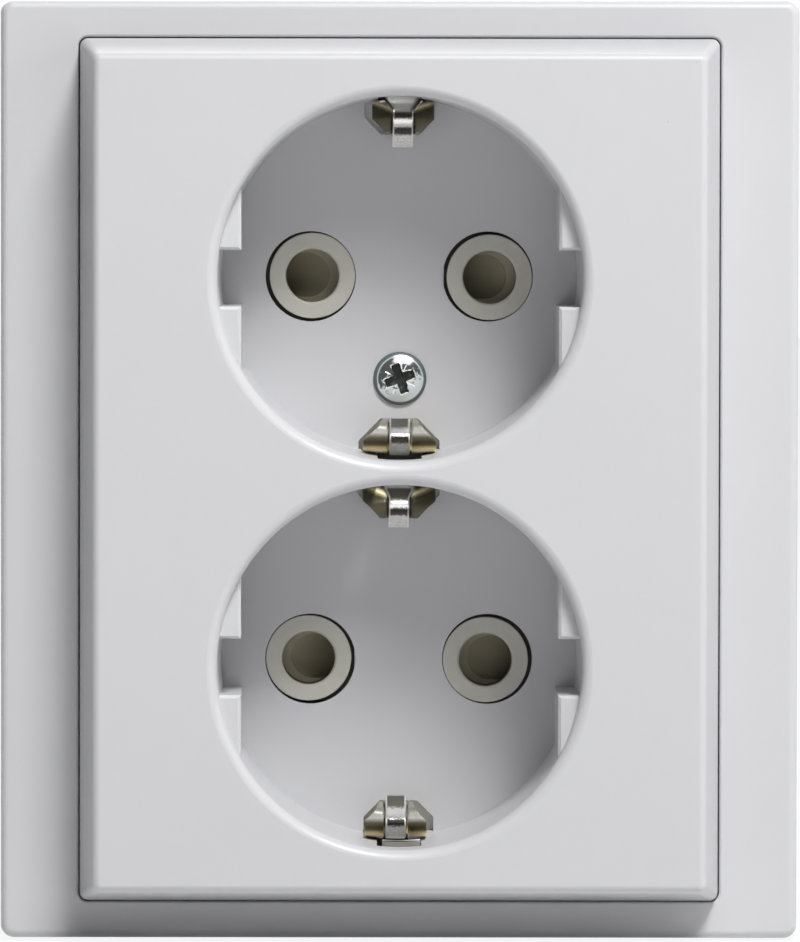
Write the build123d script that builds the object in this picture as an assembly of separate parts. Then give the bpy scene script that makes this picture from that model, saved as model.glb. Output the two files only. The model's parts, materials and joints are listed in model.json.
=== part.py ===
from build123d import *
import math
import os

# Double wall socket with side earth clips, for one round wall box.
# Sizes are millimetres. +X is to the viewer's right, +Z is up and the front looks along -Y.
# The wall is the plane y = 0. A height is counted from the wall towards the viewer, so what lies
# inside the wall has a negative height.

# Frame: a hollow moulding that lies on the wall around the cover
frame_side_border = 8.3
frame_end_border = 3.9
frame_face_height = 10.0
frame_corner_radius = 1.4
frame_edge_radius = 0.9
frame_wall = 1.5
frame_skin = 2.0
frame_rim_wall = 1.2
frame_opening_chamfer = 0.2
ledge_height = 7.0
ledge_thickness = 1.5
ledge_width = 1.6
frame_rib_thickness = 1.0
frame_rib_height = 3.0
frame_rib_count = 5

# Cover: a tapered shell with two wells
cover_side_border = 14.72
cover_end_border = 6.07
cover_gap = 0.15
cover_taper = 1.7
cover_edge_radius = 0.9
cover_wall = 1.7
cover_front_thickness = 2.2
cover_rib_thickness = 1.2
cover_rib_height = 7.0

# Wells: round, with a drafted wall, guide blocks at the sides and openings for the earth clips
well_lip_radius = 19.33
well_draft = 0.28
well_depth = 17.5
well_neck = 2.44
well_lip_chamfer = 0.7
lip_share = 0.45
floor_thickness = 1.5
cup_wall = 1.5
block_depth = 2.25
block_drop = 2.0
block_edge_chamfer = 0.3
notch_width = 6.0

# Pins of the plug, and the moulding that guides them
pin_spacing = 19.0
pin_diameter = 4.8
pin_length = 19.0
pin_bore = 5.66
boss_diameter = 9.2
boss_clearance = 0.25
boss_mouth_chamfer = 0.2
guide_thickness = 1.5
insert_turn = 0.5

# Cover screw
screw_drop = 10.95
screw_head_diameter = 5.7
screw_head_height = 1.9
screw_dome_height = 0.8
screw_dome_width = 1.2
screw_shank_diameter = 2.9
screw_length = 13.0
screw_tip_gap = 0.5
screw_post_diameter = 5.0
screw_clearance = 0.25
screw_recess_width = 1.0
screw_recess_span = 3.3
screw_recess_depth = 1.2
screw_recess_turn = 20.0

# Earth strip with its spring clips
strip_thickness = 0.6
strip_width = 9.2
strip_gap = 0.1
strip_overhang = 2.3
clip_width = 7.8
outer_clip_width = 6.6
clip_thickness = 0.5
clip_root_inset = 0.95
clip_knee_height = 6.0
clip_crest_step = 1.4
clip_crest_height = 10.6
clip_end_step = 1.0
clip_end_height = 4.2
clip_end_width = 3.1
clip_bend = 0.5
crest_flat = 0.7
tongue_width = 2.2
tongue_slit = 0.25
tongue_rise = 0.8
tongue_reach_step = 1.3
tongue_reach_height = 6.2
tongue_tail = 0.9
tongue_tail_drop = 1.8
clip_opening_clearance = 0.45
clip_back_clearance = 0.2
wall_slot_width = 4.7
wall_slot_drop = 4.5

# Support plate, screwed to the wall box
plate_thickness = 1.0
plate_side_gap = 3.0
plate_end_wall = 1.75
plate_corner_radius = 4.0
plate_flange_height = 4.0
plate_opening_clearance = 0.6
box_screw_spacing = 60.0
box_slot_length = 7.0
box_slot_width = 4.2
strip_slot_clearance = 1.3

# Base and the plate that closes its contact chambers
base_width = 44.0
base_end_margin = 1.15
base_depth = 22.0
base_corner_radius = 4.0
base_wall = 1.6
base_back_wall = 1.6
base_seat = 0.2
contact_cover_thickness = 1.5
pin_hole_clearance = 0.5
core_roof = 1.5
hook_offset = 2.0
hook_width = 6.0
hook_thickness = 1.6
hook_nose = 0.8
hook_nose_height = 1.2
hook_clearance = 0.4
ear_depth = 3.0
ear_margin = 1.4

# Shutters, one behind each pair of pin holes
shutter_thickness = 3.0
shutter_play = 0.15
shutter_half_height = 3.7
shutter_travel = 6.0
shutter_end_margin = 1.3
shutter_stop_gap = 0.3
shutter_corner_radius = 1.2
ramp_width = 4.8
ramp_shift = 0.58
ramp_shallow = 0.4
window_clearance = 0.7
lug_thickness = 2.0
lug_start = 8.0
rail_thickness = 0.8
rail_gap = 0.35

# Shutter springs, bent to and fro from flat strip
spring_strip = 0.25
spring_strip_width = 2.4
spring_swing = 2.4
spring_folds = 6
spring_end_gap = 0.1

# Pin contacts
contact_bar_width = 6.4
contact_sheet = 0.8
leaf_sheet = 0.6
leaf_width = 5.0
leaf_pinch = 4.4
leaf_mouth_gap = 0.6
leaf_bend = 1.0
grip_share = 0.7
contact_clearance = 0.3
contact_bar_overhang = 3.4

# Push-in wire terminals
terminal_depth = 7.1
tab_top_drop = 2.5
clamp_sheet = 0.4
clamp_width = 4.6
clamp_spacing = 8.0
clamp_turn = 0.95
clamp_seat = 0.2
wire_hole_width = 2.8
wire_hole_offset = 1.65
button_offset = 3.3
button_thickness = 1.6
button_stem_width = 4.0
button_shoulder_overlap = 3.2
button_travel = 1.5
button_rest = 0.5
button_clearance = 0.2
button_edge_chamfer = 0.4
earth_tab_x = -3.1

# Snap legs of the pin guide, which hold it and the contact cover on the base
leg_inset = 3.9
leg_z = 10.4
leg_width = 3.0
leg_thickness = 1.2
leg_nose = 0.6
leg_nose_height = 1.2
leg_clearance = 0.3
leg_seat = 0.1

# Heights that follow from the stack of pieces
floor_back = plate_thickness
floor_front = floor_back + floor_thickness
cover_front = floor_front + well_depth
well_offset = well_lip_radius + well_neck / 2
well_floor_radius = well_lip_radius - well_draft
block_half_gap = well_floor_radius - block_depth
clip_root_radius = well_floor_radius - clip_root_inset
clip_crest_radius = clip_root_radius - clip_crest_step
clip_end_radius = clip_crest_radius - clip_end_step
tongue_reach = clip_end_radius - tongue_reach_step
block_top = cover_front - block_drop
strip_front = floor_back - strip_gap
strip_back = strip_front - strip_thickness
guide_front = strip_back
guide_back = guide_front - guide_thickness
shutter_front = guide_back - shutter_play
shutter_back = shutter_front - shutter_thickness
deck_front = shutter_back - shutter_play
deck_back = deck_front - contact_cover_thickness
base_back = -base_depth
chamber_floor = base_back + base_back_wall
screw_z = well_offset - screw_drop
roof_back = deck_back - core_roof

# Plan sizes shared by several pieces
cover_width = 2 * (well_lip_radius + cover_side_border)
cover_height = 2 * (well_offset + well_lip_radius + cover_end_border)
opening_width = cover_width + 2 * cover_gap
opening_height = cover_height + 2 * cover_gap
frame_width = opening_width + 2 * frame_side_border
frame_height = opening_height + 2 * frame_end_border
strip_half_length = well_offset + clip_root_radius + strip_overhang
plate_width = frame_width - 2 * (frame_wall + plate_side_gap)
plate_height = 2 * (strip_half_length + strip_slot_clearance + plate_end_wall)
base_height = 2 * (well_offset + shutter_half_height + base_end_margin + base_wall)
hook_reach = base_width / 2 + hook_offset
cavity_width = base_width - 2 * base_wall
cavity_height = base_height - 2 * base_wall
cavity_corner_radius = base_corner_radius - base_wall
leg_x = cavity_width / 2 - leg_inset
tab_half_length = (clamp_spacing + clamp_width) / 2
terminal_half_length = tab_half_length + contact_clearance
button_shoulder_width = clamp_spacing + button_shoulder_overlap
insert_width = cavity_width - 2 * base_seat
insert_height = cavity_height - 2 * base_seat
pin_x = pin_spacing / 2
contact_edge_x = pin_x + contact_bar_width / 2
well_sides = (1, -1)
terminals = {
    "line": (-contact_edge_x, -1),
    "neutral": (contact_edge_x, 1),
    "earth": (earth_tab_x, 1),
}


def wall_plane(height):
    # a plane parallel to the wall, looking at the viewer
    return Plane.XZ.offset(height)


def slab(outline, low, high):
    return extrude(wall_plane(low) * outline, amount=high - low)


def disc(diameter, x, z, low, high):
    return slab(Pos(x, z) * Circle(diameter / 2), low, high)


def bar(x_low, x_high, z_low, z_high, low, high):
    centre = Pos((x_low + x_high) / 2, (z_low + z_high) / 2)
    return slab(centre * Rectangle(x_high - x_low, z_high - z_low), low, high)


def turned(piece):
    # the contact insert sits slightly turned behind the cover, as far as its clearances let it
    return piece.rotate(Axis.Y, insert_turn)


def across_plane(x, z):
    # local x is +X and local y is the height
    return Plane(origin=(x, 0, z), x_dir=(1, 0, 0), z_dir=(0, 0, -1))


def upright_plane(z, side):
    # local x runs up for side 1 and down for side -1, local y is the height
    return Plane(origin=(0, 0, z), x_dir=(0, 0, side), z_dir=(side, 0, 0))


def front_face(piece):
    return piece.faces().sort_by(Axis.Y)[0]


def pin_places():
    return [(side_x * pin_x, side_z * well_offset) for side_z in well_sides for side_x in well_sides]


def leg_bar(side_x, side_z, margin, nose, low, high):
    # a snap leg, or with a margin the room for it, with its nose towards the nearer side wall
    half = leg_thickness / 2 + margin
    half_width = leg_width / 2 + margin
    ends = sorted((side_x * (leg_x - half), side_x * (leg_x + half + nose)))
    centre = side_z * leg_z
    return bar(ends[0], ends[1], centre - half_width, centre + half_width, low, high)


def leg_sides():
    return [(side_x, side_z) for side_z in well_sides for side_x in well_sides]


def make_frame():
    opening_radius = cover_edge_radius + cover_gap
    opening = RectangleRounded(opening_width, opening_height, opening_radius)
    rim_width = opening_width + 2 * frame_rim_wall
    rim_height = opening_height + 2 * frame_rim_wall
    rim = Rectangle(rim_width, rim_height)
    ledge = Rectangle(opening_width - 2 * ledge_width, opening_height - 2 * ledge_width)
    inside_width = frame_width - 2 * frame_wall
    inside = Rectangle(inside_width, frame_height - 2 * frame_wall)
    skin_height = frame_face_height - frame_skin

    frame = slab(RectangleRounded(frame_width, frame_height, frame_corner_radius), 0, frame_face_height)
    frame = fillet(front_face(frame).edges(), frame_edge_radius)
    frame -= slab(opening, ledge_height, frame_face_height)
    frame = chamfer(front_face(frame).inner_wires()[0].edges(), frame_opening_chamfer)
    frame -= slab(ledge, 0, ledge_height)
    frame -= slab(rim, 0, ledge_height - ledge_thickness)
    frame -= slab(inside - rim, 0, skin_height)

    # ribs tie the rim to the side walls behind the face
    rib_length = (inside_width - rim_width) / 2
    rib_x = (inside_width + rim_width) / 4
    rib_pitch = opening_height / frame_rib_count
    for side in well_sides:
        for i in range(frame_rib_count):
            rib_z = (i - (frame_rib_count - 1) / 2) * rib_pitch
            rib = Pos(side * rib_x, rib_z) * Rectangle(rib_length, frame_rib_thickness)
            frame += slab(rib, skin_height - frame_rib_height, skin_height)
    return frame


def tapered(width, height, front):
    # sides that lean in from the frame's face to the front: two prisms, one along each direction
    lean = cover_taper * (front - frame_face_height) / (cover_front - frame_face_height)
    prisms = []
    for size, length, plane in ((width, height, across_plane(0, 0)), (height, width, upright_plane(0, 1))):
        half = size / 2
        outline = [
            (-half, frame_face_height),
            (half, frame_face_height),
            (half - lean, front),
            (lean - half, front),
        ]
        prisms.append(extrude(plane * make_face(Polyline(outline, close=True)), length / 2, both=True))
    return prisms[0] & prisms[1]


def cover_outside():
    # a straight skirt inside the frame, with the tapered sides on it
    skirt = RectangleRounded(cover_width, cover_height, cover_edge_radius)
    sides = tapered(cover_width, cover_height, cover_front)
    seat = sides.faces().sort_by(Axis.Y)[-1]
    sides = fillet(sides.edges() - seat.edges(), cover_edge_radius)
    return sides + slab(skirt, ledge_height, frame_face_height)


def cover_inside():
    width = cover_width - 2 * cover_wall
    height = cover_height - 2 * cover_wall
    hollow = tapered(width, height, cover_front - cover_front_thickness)
    return hollow + slab(Rectangle(width, height), ledge_height, frame_face_height)


def block_gap(well_z, width, length, spread_x, spread_z):
    # a straight passage between the guide blocks that widens at their front edges
    place = Pos(0, well_z)
    plan = place * Rectangle(width, length)
    wide_plan = place * Rectangle(width + 2 * spread_x, length + 2 * spread_z)
    turn = block_top - block_edge_chamfer
    mouth = loft([wall_plane(turn) * plan, wall_plane(block_top) * wide_plan], ruled=True)
    return slab(plan, floor_front, turn) + mouth


def well_space(well_z):
    # the room for a plug: a drafted round well, narrowed by guide blocks with a notch at the pin line
    place = wall_plane(floor_front) * Pos(0, well_z)
    upright = (Align.CENTER, Align.CENTER, Align.MIN)
    room = place * Cone(well_floor_radius, well_lip_radius, well_depth, align=upright)
    reach = 2 * (well_lip_radius + cup_wall)
    gaps = block_gap(well_z, 2 * block_half_gap, reach, block_edge_chamfer, 0)
    gaps += block_gap(well_z, reach, notch_width, 0, block_edge_chamfer)
    gaps += slab(Pos(0, well_z) * Rectangle(reach, reach), block_top, cover_front)
    return room & gaps


def clip_half(well_side, side):
    # the clips at the two ends of the socket are narrower than those next to its middle
    return (outer_clip_width if side == well_side else clip_width) / 2


def clip_openings(well_side, side):
    # a trapezoid in the floor that follows the clip, and a narrower slot up the wall
    gap = clip_opening_clearance
    half = clip_width / 2 + gap
    half_end = clip_end_width / 2 + gap
    inner = clip_end_radius - gap
    knee = clip_root_radius - gap
    outer = clip_root_radius + clip_thickness / 2 + clip_back_clearance
    points = [(-half_end, inner), (half_end, inner), (half, knee), (half, outer), (-half, outer), (-half, knee)]
    floor_hole = make_face(Polyline([(x, side * r) for x, r in points], close=True))
    floor_hole &= Rectangle(2 * (clip_half(well_side, side) + gap), 2 * outer)
    cup_outside = well_lip_radius + cup_wall
    slot_depth = cup_outside - clip_root_radius
    slot = Pos(0, side * (cup_outside - slot_depth / 2)) * Rectangle(wall_slot_width, slot_depth + cup_wall)
    place = Pos(0, well_side * well_offset)
    holes = slab(place * floor_hole, floor_back, floor_front)
    return holes + slab(place * slot, floor_back, cover_front - wall_slot_drop)


def make_cover():
    inner_front = cover_front - cover_front_thickness
    cover = cover_outside() - cover_inside()

    cup_radius = well_lip_radius + cup_wall
    for side in well_sides:
        cover += slab(Pos(0, side * well_offset) * Circle(cup_radius), floor_back, inner_front)

    # ribs between the cups and the sides
    for rib_z in (well_offset, 0, -well_offset):
        rib = Pos(0, rib_z) * Rectangle(cover_width - 2 * cover_wall, cover_rib_thickness)
        cover += slab(rib, inner_front - cover_rib_height, inner_front) & cover_outside()

    for side in well_sides:
        cover -= well_space(side * well_offset)
    lips = front_face(cover).edges().filter_by(GeomType.CIRCLE)
    lips = lips.filter_by(lambda edge: edge.radius > well_floor_radius)
    cover = chamfer(lips, min(well_lip_chamfer, lip_share * well_neck))

    for x, z in pin_places():
        cover -= disc(boss_diameter + 2 * boss_clearance, x, z, floor_back, floor_front)
    cover -= disc(screw_shank_diameter + 2 * screw_clearance, 0, screw_z, floor_back, floor_front)
    for well_side in well_sides:
        for side in well_sides:
            cover -= clip_openings(well_side, side)
    return cover


def make_cover_screw():
    head_front = floor_front + screw_head_height
    head = disc(screw_head_diameter, 0, screw_z, floor_front, head_front)
    head = chamfer(front_face(head).edges(), screw_dome_height, screw_dome_width)
    arm = Rectangle(screw_recess_span, screw_recess_width)
    cross = Pos(0, screw_z) * Rot(0, 0, screw_recess_turn) * (arm + Rot(0, 0, 90) * arm)
    head -= slab(cross, head_front - screw_recess_depth, head_front)
    shank = disc(screw_shank_diameter, 0, screw_z, floor_front - screw_length, floor_front)
    return head + shank


def make_pin_guide():
    outline = RectangleRounded(insert_width, insert_height, cavity_corner_radius)
    guide = slab(outline, guide_back, guide_front)
    for x, z in pin_places():
        guide += disc(boss_diameter, x, z, guide_front, floor_front)
        guide -= disc(pin_bore, x, z, guide_back, floor_front)
    mouths = guide.edges().filter_by(GeomType.CIRCLE).group_by(Axis.Y)[0]
    mouths = mouths.filter_by(lambda edge: edge.radius < (pin_bore + boss_diameter) / 4)
    guide = chamfer(mouths, boss_mouth_chamfer)

    # a hole for the cover screw, a slot for the earth terminal leg and legs that snap into the base
    guide -= disc(screw_shank_diameter + 2 * screw_clearance, 0, screw_z, guide_back, guide_front)
    guide -= earth_leg_room(guide_back, guide_front)
    nose_top = roof_back - leg_seat
    nose_back = nose_top - leg_nose_height
    for side_x, side_z in leg_sides():
        guide += leg_bar(side_x, side_z, 0, 0, nose_back, guide_back)
        guide += leg_bar(side_x, side_z, 0, leg_nose, nose_back, nose_top)
    return guide


def earth_leg_room(low, high):
    gap = contact_clearance
    half = tab_half_length + gap
    return bar(earth_tab_x - contact_sheet - gap, earth_tab_x + gap, -half, half, low, high)


def folded_sheet(points, thickness):
    return trace(Polyline(points), line_width=thickness)


def bent_sheet(points, bend, thickness):
    return trace(FilletPolyline(points, radius=bend), line_width=thickness)


def make_clip(well_side, side):
    # a folded leaf: it stands along the wall, turns over and slopes in towards the plug,
    # with a tongue between two slits that reaches further in than the wings beside it
    root = (clip_root_radius, strip_back + clip_thickness / 2)
    knee = (clip_root_radius, clip_knee_height)
    crest = (clip_crest_radius, clip_crest_height)
    over = (clip_crest_radius - crest_flat, clip_crest_height)
    wing_points = [root, knee, crest, over, (clip_end_radius, clip_end_height)]
    raised_crest = (clip_crest_radius, clip_crest_height + tongue_rise)
    tail = (tongue_reach + tongue_tail, tongue_reach_height - tongue_tail_drop)
    tongue_points = [knee, raised_crest, (tongue_reach, tongue_reach_height), tail]

    well_z = well_side * well_offset
    plane = upright_plane(well_z, side)
    leaf = extrude(plane * folded_sheet(wing_points, clip_thickness), clip_half(well_side, side), both=True)
    slit_width = tongue_width + 2 * tongue_slit
    fold_start = clip_root_radius - clip_thickness / 2
    slit = Pos(0, well_z + side * fold_start / 2) * Rectangle(slit_width, fold_start)
    leaf -= slab(slit, strip_back, cover_front)

    # the wings narrow towards their free ends
    half = clip_width / 2
    half_end = clip_end_width / 2
    far = clip_end_radius - clip_thickness
    for edge in well_sides:
        outside = half + clip_end_width
        corner = [(edge * half_end, far), (edge * half, clip_root_radius), (edge * outside, far)]
        corner = [(x, well_z + side * r) for x, r in corner]
        leaf -= slab(make_face(Polyline(corner, close=True)), strip_front, cover_front)
    tongue = plane * bent_sheet(tongue_points, clip_bend, clip_thickness)
    return leaf + extrude(tongue, tongue_width / 2, both=True)


def make_earth_strip():
    half_width = strip_width / 2
    strip = bar(-half_width, half_width, -strip_half_length, strip_half_length, strip_back, strip_front)
    for well_side in well_sides:
        for side in well_sides:
            strip += make_clip(well_side, side)
    leg_back = chamber_floor + contact_sheet
    edge = earth_tab_x - contact_sheet
    strip += bar(edge, earth_tab_x, -tab_half_length, tab_half_length, leg_back, strip_front)
    strip -= disc(screw_shank_diameter + 2 * screw_clearance, 0, screw_z, strip_back, strip_front)
    return strip


def make_support_plate():
    plate = slab(RectangleRounded(plate_width, plate_height, plate_corner_radius), 0, plate_thickness)
    opening_w = insert_width + 2 * plate_opening_clearance
    opening_h = insert_height + 2 * plate_opening_clearance
    plate -= slab(Rectangle(opening_w, opening_h), 0, plate_thickness)
    slot_half = strip_half_length + strip_slot_clearance
    slot_width = strip_width + 2 * strip_slot_clearance
    plate -= bar(-slot_width / 2, slot_width / 2, -slot_half, slot_half, 0, plate_thickness)
    flange_half = plate_height / 2 - plate_corner_radius
    for side in well_sides:
        box_slot = Pos(side * box_screw_spacing / 2, 0) * SlotOverall(box_slot_length, box_slot_width)
        plate -= slab(box_slot, 0, plate_thickness)
        hook_slot = Pos(side * hook_centre(), 0) * hook_slot_outline()
        plate -= slab(hook_slot, 0, plate_thickness)
        edge = side * (plate_width / 2 - plate_thickness / 2)
        lip = Pos(edge, 0) * Rectangle(plate_thickness, 2 * flange_half)
        plate += slab(lip, plate_thickness, plate_flange_height)
    return plate


def hook_centre():
    return hook_reach + (hook_nose - hook_thickness) / 2


def hook_slot_outline():
    return Rectangle(hook_thickness + hook_nose + 2 * hook_clearance, hook_width + 2 * hook_clearance)


def terminal_plane(name):
    # local x runs from the contact tab out to the chamber's far wall, local y is the height
    tab_x, direction = terminals[name]
    return Plane(origin=(tab_x, 0, 0), x_dir=(direction, 0, 0), z_dir=(0, 0, -direction))


def terminal_bar(name, near, far, half_length, low, high):
    tab_x, direction = terminals[name]
    ends = sorted((tab_x + direction * near, tab_x + direction * far))
    return bar(ends[0], ends[1], -half_length, half_length, low, high)


def wire_places(name):
    tab_x, direction = terminals[name]
    return [(tab_x + direction * wire_hole_offset, side * clamp_spacing / 2) for side in well_sides]


def make_base():
    outer = RectangleRounded(base_width, base_height, base_corner_radius)
    base = slab(outer, base_back, 0)
    base -= slab(RectangleRounded(cavity_width, cavity_height, cavity_corner_radius), deck_back, 0)

    # chambers for the contact strips and the terminals
    pocket_half = contact_bar_width / 2 + contact_clearance
    pocket_end = well_offset + contact_bar_overhang + contact_clearance
    for side in well_sides:
        low_x = side * pin_x - pocket_half
        high_x = side * pin_x + pocket_half
        base -= bar(low_x, high_x, -pocket_end, pocket_end, chamber_floor, deck_back)
    behind_tab = contact_sheet + contact_clearance
    for name in terminals:
        base -= terminal_bar(name, -behind_tab, terminal_depth, terminal_half_length, chamber_floor, deck_back)
        for x, z in wire_places(name):
            wire_hole = Pos(x, z) * Rectangle(wire_hole_width, wire_hole_width)
            base -= slab(wire_hole, base_back, chamber_floor)
        gap = button_clearance
        slot_far = button_offset + button_thickness + gap
        slot_half = button_stem_width / 2 + gap
        base -= terminal_bar(name, button_offset - gap, slot_far, slot_half, base_back, chamber_floor)

    # the corners and both ends of the middle are cored out from behind
    core_low_x = contact_edge_x + contact_clearance + base_wall
    core_high_x = base_width / 2 - base_wall
    core_low_z = terminal_half_length + base_wall
    core_high_z = base_height / 2 - base_wall
    core = Rectangle(core_high_x - core_low_x, core_high_z - core_low_z)
    middle_low_z = screw_z + screw_post_diameter / 2
    middle_half = pin_x - pocket_half - base_wall
    middle = Rectangle(2 * middle_half, core_high_z - middle_low_z)
    for sz in well_sides:
        for sx in well_sides:
            place = Pos(sx * (core_low_x + core_high_x) / 2, sz * (core_low_z + core_high_z) / 2)
            base -= slab(place * core, base_back, roof_back)
        place = Pos(0, sz * (middle_low_z + core_high_z) / 2)
        base -= slab(place * middle, base_back, roof_back)

    # slots for the snap legs, and the hole that the cover screw cuts its thread in
    for side_x, side_z in leg_sides():
        base -= leg_bar(side_x, side_z, leg_clearance, 0, roof_back, deck_back)
    thread_end = floor_front - screw_length - screw_tip_gap
    base -= disc(screw_shank_diameter + screw_clearance, 0, screw_z, thread_end, deck_back)

    # ears with hooks that snap over the support plate
    for side in well_sides:
        root = base_width / 2 - base_wall
        ear_ends = sorted((side * root, side * (hook_reach + hook_nose + ear_margin)))
        ear_half = hook_width / 2 + ear_margin
        base += bar(ear_ends[0], ear_ends[1], -ear_half, ear_half, -ear_depth, 0)
        inner = hook_reach - hook_thickness
        arm = sorted((side * inner, side * hook_reach))
        nose = sorted((side * inner, side * (hook_reach + hook_nose)))
        nose_top = plate_thickness + hook_nose_height
        base += bar(arm[0], arm[1], -hook_width / 2, hook_width / 2, 0, nose_top)
        base += bar(nose[0], nose[1], -hook_width / 2, hook_width / 2, plate_thickness, nose_top)
    return base


def make_contact_cover():
    outline = RectangleRounded(insert_width, insert_height, cavity_corner_radius)
    deck = slab(outline, deck_back, deck_front)
    pin_hole = Rectangle(pin_diameter + 2 * pin_hole_clearance, pin_diameter + 2 * pin_hole_clearance)
    for x, z in pin_places():
        deck -= slab(Pos(x, z) * pin_hole, deck_back, deck_front)
    for side_x, side_z in leg_sides():
        deck -= leg_bar(side_x, side_z, leg_clearance, leg_nose, deck_back, deck_front)
    deck -= disc(screw_shank_diameter + 2 * screw_clearance, 0, screw_z, deck_back, deck_front)
    deck -= earth_leg_room(deck_back, deck_front)

    # a rail beside each shutter keeps it straight and stops short of its spring lug
    rail_z = well_offset - shutter_half_height - rail_gap - rail_thickness / 2
    rail_end = lug_start - rail_gap
    rail_start = -insert_width / 2
    for side in well_sides:
        place = Pos(side * (rail_start + rail_end) / 2, side * rail_z)
        rail = place * Rectangle(rail_end - rail_start, rail_thickness)
        deck += slab(rail, deck_front, guide_back - shutter_play)
    return deck


def shutter_ramp(x):
    # a slot with a sloping floor: the pin tip slides down it, moves the shutter and drops into the window
    start = x - ramp_shift
    window = x - shutter_travel
    half = ramp_width / 2
    plan = Pos((start + window) / 2, well_offset) * SlotOverall(start - window + ramp_width, ramp_width)
    deep = window + half
    profile = [
        (start + half, shutter_front),
        (start + half, shutter_front - ramp_shallow),
        (deep, shutter_back),
        (window - half, shutter_back),
        (window - half, shutter_front),
    ]
    outline = across_plane(0, well_offset) * make_face(Polyline(profile, close=True))
    wedge = extrude(outline, ramp_width, both=True)
    return slab(plan, shutter_back, shutter_front) & wedge


def shutter_lug():
    low = well_offset - shutter_half_height - rail_gap - rail_thickness - spring_swing - spring_strip
    return lug_start, lug_start + lug_thickness, low


def make_shutter():
    window = Rectangle(pin_diameter + window_clearance, pin_diameter + window_clearance)
    left = shutter_stop_gap - cavity_width / 2
    right = pin_x + ramp_width / 2 + shutter_end_margin
    low = well_offset - shutter_half_height
    plan = RectangleRounded(right - left, 2 * shutter_half_height, shutter_corner_radius)
    shutter = slab(Pos((left + right) / 2, well_offset) * plan, shutter_back, shutter_front)
    lug_left, lug_right, lug_low = shutter_lug()
    shutter += bar(lug_left, lug_right, lug_low, low, shutter_back, shutter_front)
    for side in well_sides:
        x = side * pin_x
        shutter -= slab(Pos(x - shutter_travel, well_offset) * window, shutter_back, shutter_front)
        shutter -= shutter_ramp(x)
    return shutter


def make_shutter_spring():
    # a zigzag that fills the room between the shutter's lug and the wall of the base
    lug_left, lug_right, lug_low = shutter_lug()
    half = spring_strip / 2
    start = lug_right + spring_end_gap + half
    end = cavity_width / 2 - spring_end_gap - half
    middle_z = (lug_low + well_offset - shutter_half_height) / 2
    pitch = (end - start) / spring_folds
    swing = spring_swing / 2 - half
    points = [(start, -swing)]
    for i in range(spring_folds):
        side = swing if i % 2 == 0 else -swing
        points.append((start + i * pitch, side))
        points.append((start + (i + 1) * pitch, side))
    points.append((end, -points[-1][1]))
    strip = folded_sheet(points, spring_strip)
    low = (shutter_front + shutter_back - spring_strip_width) / 2
    return slab(Pos(0, middle_z) * strip, low, low + spring_strip_width)


def opposite(piece):
    # the lower socket holds the same piece turned half round
    return piece.rotate(Axis.Y, 180)


def make_contact(side):
    half = contact_bar_width / 2
    bar_half = well_offset + contact_bar_overhang
    bar_front = chamber_floor + contact_sheet
    centre = side * pin_x
    contact = bar(centre - half, centre + half, -bar_half, bar_half, chamber_floor, bar_front)
    outer = side * contact_edge_x
    inner = side * (contact_edge_x - contact_sheet)
    tab_top = deck_back - tab_top_drop
    tab_ends = sorted((outer, inner))
    contact += bar(tab_ends[0], tab_ends[1], -tab_half_length, tab_half_length, chamber_floor, tab_top)

    # two leaves grip each pin: they stand on the bar's edges, pinch at mid depth and flare at the mouth
    foot = half - leaf_sheet / 2
    grip = leaf_pinch / 2 + leaf_sheet / 2
    mouth = pin_diameter / 2 + leaf_sheet / 2
    grip_height = floor_front - grip_share * pin_length
    foot_height = floor_front - pin_length
    mouth_height = deck_back - leaf_mouth_gap
    for leaf in well_sides:
        points = [(foot, bar_front), (foot, foot_height), (grip, grip_height), (mouth, mouth_height)]
        points = [(leaf * x, h) for x, h in points]
        for well_side in well_sides:
            plane = across_plane(centre, well_side * well_offset)
            contact += extrude(plane * bent_sheet(points, leaf_bend, leaf_sheet), leaf_width / 2, both=True)
    return contact


def clamp_line():
    # a leg along the chamber's far wall, a turn at the back and a leg that leans on the contact tab
    half = clamp_sheet / 2
    far = terminal_depth - clamp_seat - half
    back = chamber_floor + clamp_seat + half
    turn = clamp_turn
    top = deck_back - tab_top_drop
    grip = (chamber_floor + deck_back) / 2
    return [
        (far, top),
        (far, back + turn),
        (far - turn, back),
        (far - 2 * turn, back + turn),
        (clamp_sheet, grip),
    ]


def make_clamp_springs(name):
    plane = terminal_plane(name)
    springs = []
    for side in well_sides:
        place = Pos(0, 0, side * clamp_spacing / 2)
        leaf = extrude(plane * folded_sheet(clamp_line(), clamp_sheet), clamp_width / 2, both=True)
        springs.append(place * leaf)
    return springs


def leaf_height(offset):
    # height of the leaning leg's middle line at a distance from the tab
    foot_x, foot_h = clamp_line()[3]
    tip_x, tip_h = clamp_line()[4]
    return foot_h + (foot_x - offset) * (tip_h - foot_h) / (foot_x - tip_x)


def make_release_button(name):
    near = button_offset
    far = button_offset + button_thickness
    foot_x, foot_h = clamp_line()[3]
    tip_x, tip_h = clamp_line()[4]
    slope_length = math.hypot(foot_x - tip_x, tip_h - foot_h)
    below = (clamp_sheet / 2 + button_clearance) * slope_length / (foot_x - tip_x)
    wedge = [
        (near, chamber_floor),
        (far, chamber_floor),
        (far, leaf_height(far) - below),
        (near, leaf_height(near) - below),
    ]
    plane = terminal_plane(name)
    shoulder = extrude(plane * make_face(Polyline(wedge, close=True)), button_shoulder_width / 2, both=True)
    tip = base_back - button_travel - button_rest
    stem = terminal_bar(name, near, far, button_stem_width / 2, tip, chamber_floor)
    stem = chamfer(stem.faces().sort_by(Axis.Y)[-1].edges(), button_edge_chamfer)
    return shoulder + stem


def write(name, piece):
    if isinstance(piece, list):
        piece = Compound(children=[solid for part in piece for solid in part.solids()])
    export_step(piece, os.path.join("parts", name + ".step"))


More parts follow.
